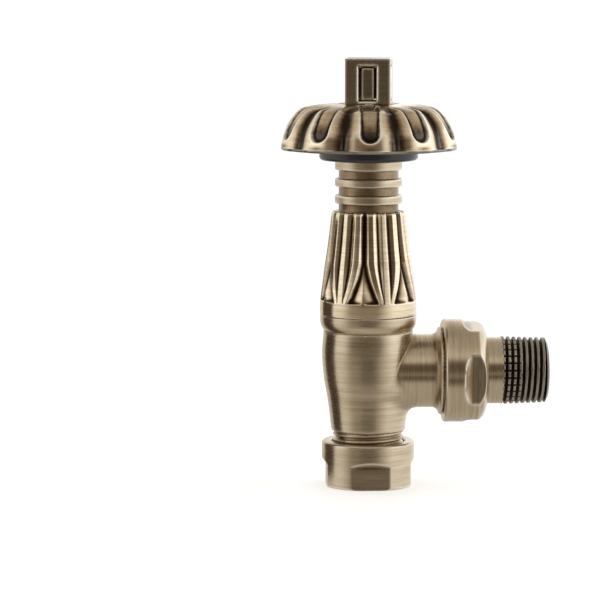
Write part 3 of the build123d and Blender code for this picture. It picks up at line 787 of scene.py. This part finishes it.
def valve_body():
    """The barrel and its side arm, run together softly below and sharply above."""
    # outlines of the barrel, up its axis, and of the arm, out from the barrel's axis
    barrel_z = (17.4, 17.7, 18.3, 23.2, 28.1, 33.0, 38.0, 42.8, 49.2)
    barrel_r = (11.05, 11.45, 11.75, 12.3, 12.95, 13.85, 14.4, 14.6, 14.1)
    through = np.array(curve(*zip(barrel_r, barrel_z), count=40))
    lip = OUTLET_END - 9.6
    arm_x = (0, lip - 2.4, lip - 1.5, lip - 0.9, lip - 0.6, lip, lip + 0.05, lip + 0.2)
    arm_x += (OUTLET_END, OUTLET_END + 3)
    arm_r = (11.65, 11.65, 12.05, 12.9, 13.75, 13.9, 12.2, 12.2, 12.2, 12.2)
    inlet_thread_r, outlet_thread_r, spigot_r, spigot_z = 11.25, 13.0, 11.0, 40.0
    socket_r, riser_r, chamber_r, insert_r, outlet_bore_r = 7.55, 5.2, 9.3, 8.6, 6.6

    def parts(x, y, z):
        r = np.hypot(x, y)
        turn = np.arctan2(x, -y) / (2 * pi)
        wave = np.abs(2 * (((z - BODY_BASE) / PIPE_PITCH - turn) % 1.0) - 1)
        thread = inlet_thread_r - 1.0 * smooth_step((0.92 - wave) / 0.8)
        wall = np.interp(z, through[:, 1], through[:, 0])
        barrel = np.maximum((r - wall) * 0.985, np.maximum(17.35 - z, z - COLLAR_Z0))
        inlet = np.maximum(r - thread, np.maximum(BODY_BASE - z, z - 18.5))
        spigot = np.maximum(r - spigot_r, np.maximum(spigot_z - z, z - BODY_TOP))
        s = np.hypot(y, z - TAIL_Z)
        spin = np.arctan2(-(z - TAIL_Z), -y) / (2 * pi)
        ripple = np.abs(2 * ((x / PIPE_PITCH + spin) % 1.0) - 1)
        arm_wall = np.interp(x, arm_x, arm_r)
        outlet_thread = outlet_thread_r - 0.9 * smooth_step((0.92 - ripple) / 0.8)
        arm_wall = np.where(x > lip + 0.2, outlet_thread, arm_wall)
        arm = np.maximum(s - arm_wall, np.maximum(-x, x - OUTLET_END))
        return barrel, inlet, spigot, arm

    def bores(x, y, z):
        r, s = np.hypot(x, y), np.hypot(y, z - TAIL_Z)
        mouth = np.maximum(r - np.clip(9.3 - (z - BODY_BASE) * 0.55, socket_r, 9.3), z - 18.0)
        riser = np.maximum(r - riser_r, z - 28.0)
        chamber = np.hypot(r, np.maximum(np.abs(z - 35.0) - 2.5, 0)) - chamber_r
        top = np.maximum(r - insert_r, spigot_z - z)
        way_out = np.maximum(s - outlet_bore_r, -x)
        return np.minimum(np.minimum(np.minimum(mouth, riser), np.minimum(chamber, top)), way_out)

    def field(x, y, z):
        barrel, inlet, spigot, arm = parts(x, y, z)
        softness = 0.3 + 3.0 * smooth_step((TAIL_Z - z) / 7.0)
        solid = soft_min(barrel, arm, softness)
        solid = soft_min(np.minimum(solid, spigot), inlet, 0.3)
        return soft_max(solid, -bores(x, y, z), 0.4)

    lo = [low("valve_body", k) - 0.8 for k in range(3)]
    hi = [high("valve_body", k) + 0.8 for k in range(3)]
    points, faces = skin(field, lo, hi, 0.33)
    piece = finished("valve_body_skin", points, faces, "valve", ["valve_body"], sharp=60)
    piece.data.materials.append(body_brass)
    piece.data.materials.append(arm_brass)
    middle = np.array([p.center[:] for p in piece.data.polygons]) / MM
    barrel, _, _, arm = parts(*middle.T)
    piece.data.polygons.foreach_set("material_index", (arm < barrel).astype(np.int32))


compression_nut()
union_nut()
tail_piece()
collar_ring()
fluted_shroud()
ribbed_neck()
bearing_ring()
handwheel()
sensor_cage()
cage_core()
valve_body()


# ---- CAD nodes that show as they are ----
def refinish(node, material):
    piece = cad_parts[node]
    piece.data.materials.clear()
    piece.data.materials.append(material)


for node in ("olive", "valve_insert", "gland_nut", "valve_spindle", "disc_holder", "disc_screw"):
    refinish(node, raw_brass)
for node in ("return_spring", "wheel_circlip"):
    refinish(node, steel)
for node in ("tail_o_ring", "insert_o_ring", "gland_o_ring", "valve_disc"):
    refinish(node, rubber)
for node in ("friction_ring", "setting_carrier", "push_pin"):
    refinish(node, acetal)
refinish("sensor_capsule", drawn_aluminium)


# ---- floor, light and camera ----
VIEW_TURN, VIEW_RISE = -2.3, 6.4  # degrees round the object and above its level
VIEW_DISTANCE, VIEW_ANGLE = 0.9937, 10.9  # metres, degrees
AIM = (-21.6, 0.0, 58.86)  # mm from the origin, before the turn: the valve stands right of centre


def turned_about_z(x, y, degrees):
    a = radians(degrees)
    return x * cos(a) - y * sin(a), x * sin(a) + y * cos(a)


def camera():
    ax, ay = turned_about_z(AIM[0] * MM, AIM[1] * MM, VIEW_TURN)
    back, up = VIEW_DISTANCE * cos(radians(VIEW_RISE)), VIEW_DISTANCE * sin(radians(VIEW_RISE))
    dx, dy = turned_about_z(0, -back, VIEW_TURN)
    data = bpy.data.cameras.new("view")
    data.sensor_width = 36
    data.lens = 18 / tan(radians(VIEW_ANGLE / 2))
    data.clip_start, data.clip_end = 0.05, 20
    eye = bpy.data.objects.new("view", data)
    eye.location = (ax + dx, ay + dy, AIM[2] * MM + up)
    eye.rotation_euler = (radians(90 - VIEW_RISE), 0, radians(VIEW_TURN))
    bpy.context.scene.collection.objects.link(eye)
    bpy.context.scene.camera = eye


def placed(name, points, faces):
    """A piece of the stage, from points in metres."""
    mesh = bpy.data.meshes.new(name)
    mesh.from_pydata(points, [], faces)
    piece = bpy.data.objects.new(name, mesh)
    bpy.context.scene.collection.objects.link(piece)
    return piece


def floor():
    """A pale round floor that fades out at its edge.

    The metal doesn't mirror it: what it mirrors from below is the lower part of the studio.
    """
    rings, spokes, reach, solid_reach = 24, 64, 0.30, 0.13
    middle = (cad_box[0][0] + cad_box[1][0]) / 2
    points = [(middle, 0.0, 0.0)]
    for i in range(1, rings + 1):
        for k in range(spokes):
            a = 2 * pi * k / spokes
            points.append((middle + reach * i / rings * cos(a), reach * i / rings * sin(a), 0.0))
    faces = [(0, 1 + k, 1 + (k + 1) % spokes) for k in range(spokes)]
    for i in range(rings - 1):
        for k in range(spokes):
            a, b = 1 + i * spokes + k, 1 + i * spokes + (k + 1) % spokes
            faces.append((a, a + spokes, b + spokes, b))
    piece = placed("floor", points, faces)
    material, n, shader = new_material("floor")
    shader.inputs["Base Color"].default_value = (0.93, 0.93, 0.93, 1)
    shader.inputs["Roughness"].default_value = 0.6
    shader.inputs["Specular IOR Level"].default_value = 0.1
    shader.inputs["Emission Color"].default_value = (1, 1, 1, 1)
    shader.inputs["Emission Strength"].default_value = 0.45
    where = n.add("ShaderNodeTexCoord").outputs["Object"]
    away = n.add("ShaderNodeVectorMath", {0: where, 1: (middle, 0.0, 0)}, operation="DISTANCE")
    inputs = {0: away.outputs["Value"], 1: solid_reach, 2: reach * 0.95, 3: 1.0, 4: 0.0}
    seen = n.add("ShaderNodeMapRange", inputs, interpolation_type="SMOOTHSTEP").outputs[0]
    n.tree.links.new(seen, shader.inputs["Alpha"])
    piece.data.materials.append(material)
    piece.visible_glossy = False


def dark_post():
    """A dark post standing to the left, as a second valve would, seen only as a reflection."""
    rings, spokes = ((14.5, 0), (14.5, 58), (11.5, 86), (0.01, 86)), 48  # (radius, height) in mm
    centre_x, centre_y = -43.5, 9.0  # mm
    points = []
    for r, z in rings:
        for k in range(spokes):
            a = 2 * pi * k / spokes
            points.append(((centre_x + r * cos(a)) * MM, (centre_y + r * sin(a)) * MM, z * MM))
    faces = []
    for i in range(len(rings) - 1):
        for k in range(spokes):
            a, b = i * spokes + k, i * spokes + (k + 1) % spokes
            faces.append((a, b, b + spokes, a + spokes))
    piece = placed("dark_post", points, faces)
    material, n, shader = new_material("dark_post")
    where = n.add("ShaderNodeTexCoord").outputs["Object"]
    streak = n.noise(n.stretched(where, (60.0, 60.0, 25.0)), 1.0, 2.0)
    shader.inputs["Base Color"].default_value = (0.02, 0.015, 0.01, 1)
    shader.inputs["Specular IOR Level"].default_value = 0.0
    shader.inputs["Emission Color"].default_value = (1.0, 0.74, 0.44, 1)
    n.tree.links.new(n.math("MULTIPLY_ADD", streak, 0.10, 0.01), shader.inputs["Emission Strength"])
    piece.data.materials.append(material)
    piece.visible_camera = False
    piece.visible_shadow = False
    piece.visible_diffuse = False


# Light round the studio, as (degrees from the front, brightness), positive on the right: first near the
# horizon and then higher up. The side towards the camera is dim, so the brass is darkest in its middle.
LEVEL_LIGHT = (
    (-180, 0.75), (-150, 0.75), (-136, 0.78), (-104, 0.85), (-96, 0.90), (-86, 0.95), (-68, 0.90),
    (-42, 0.42), (-12, 0.37), (22, 0.38), (42, 0.80), (62, 1.12), (120, 1.10), (150, 1.15),
)
RAISED_LIGHT = (
    (-180, 0.90), (-150, 0.90), (-136, 0.95), (-104, 1.10), (-96, 1.20), (-84, 1.35), (-62, 1.15),
    (-44, 0.20), (-12, 0.10), (32, 0.14), (50, 1.00), (66, 1.60), (120, 1.60), (150, 1.30),
)
# Degrees of height where a layer of light starts and is full, and its colour.
CEILING_AND_GROUND = (
    (24, 36, (0.84, 0.80, 0.745, 1)),
    (38, 62, (0.56, 0.53, 0.49, 1)),
    (-25, -34, (0.62, 0.60, 0.57, 1)),
    (-60, -85, (0.60, 0.58, 0.55, 1)),
)
DARK_PATCH = (0.03, 0.028, 0.025, 1)
LIGHT_TURN = 1.24  # degrees that the bands stand round from the camera's own direction


def studio():
    """Soft light from both sides and above, dim in front and below, before a plain white backdrop."""
    world = bpy.data.worlds.new("studio")
    bpy.context.scene.world = world
    world.use_nodes = True
    tree = world.node_tree
    tree.nodes.clear()
    n = Nodes(tree)
    way = n.add("ShaderNodeTexCoord").outputs["Generated"]
    split = n.add("ShaderNodeSeparateXYZ", {0: way}).outputs
    round_about = n.math("ARCTAN2", split[0], n.math("MULTIPLY", split[1], -1.0))
    share = n.math("MULTIPLY_ADD", round_about, 1 / (2 * pi), 0.5 - VIEW_TURN / 360 + LIGHT_TURN / 360)
    share = n.math("FRACT", share)

    def panorama(bands):
        ramp = n.add("ShaderNodeValToRGB", {"Fac": share})
        elements = ramp.color_ramp.elements
        while len(elements) < len(bands):
            elements.new(0.5)
        for element, (degrees, light) in zip(elements, bands, strict=True):
            element.position = (degrees + 180) / 360
            element.color = (light, light**1.12, light**1.28, 1)
        return ramp.outputs[0]

    height = n.math("ARCSINE", split[2])

    def rise(start, end):
        inputs = {0: height, 1: radians(start), 2: radians(end), 3: 0.0, 4: 1.0}
        return n.add("ShaderNodeMapRange", inputs, interpolation_type="SMOOTHSTEP").outputs[0]

    sky = n.mix(rise(-4, 5), panorama(LEVEL_LIGHT), panorama(RAISED_LIGHT))
    for start, end, colour in CEILING_AND_GROUND:
        sky = n.mix(rise(start, end), sky, colour)

    # a dark patch low in front, which the lower flats and the rounded edges mirror
    off_front = n.math("ABSOLUTE", n.math("SUBTRACT", share, 0.5))
    in_front = n.add("ShaderNodeMapRange", {0: off_front, 1: 0.03, 2: 0.08, 3: 1.0, 4: 0.0}).outputs[0]
    below = n.math("MULTIPLY", rise(-8, -13), rise(-26, -19))
    sky = n.mix(n.math("MULTIPLY", in_front, below), sky, DARK_PATCH)
    lit = n.add("ShaderNodeBackground", {"Color": sky, "Strength": 1.0})
    plain = n.add("ShaderNodeBackground", {"Color": (1, 1, 1, 1), "Strength": 1.05})
    seen = n.add("ShaderNodeLightPath").outputs["Is Camera Ray"]
    both = n.add("ShaderNodeMixShader", {0: seen, 1: lit.outputs[0], 2: plain.outputs[0]})
    n.add("ShaderNodeOutputWorld", {0: both.outputs[0]})


camera()
floor()
dark_post()
studio()
bpy.context.scene.view_settings.view_transform = "Standard"
bpy.context.scene.view_settings.look = "None"
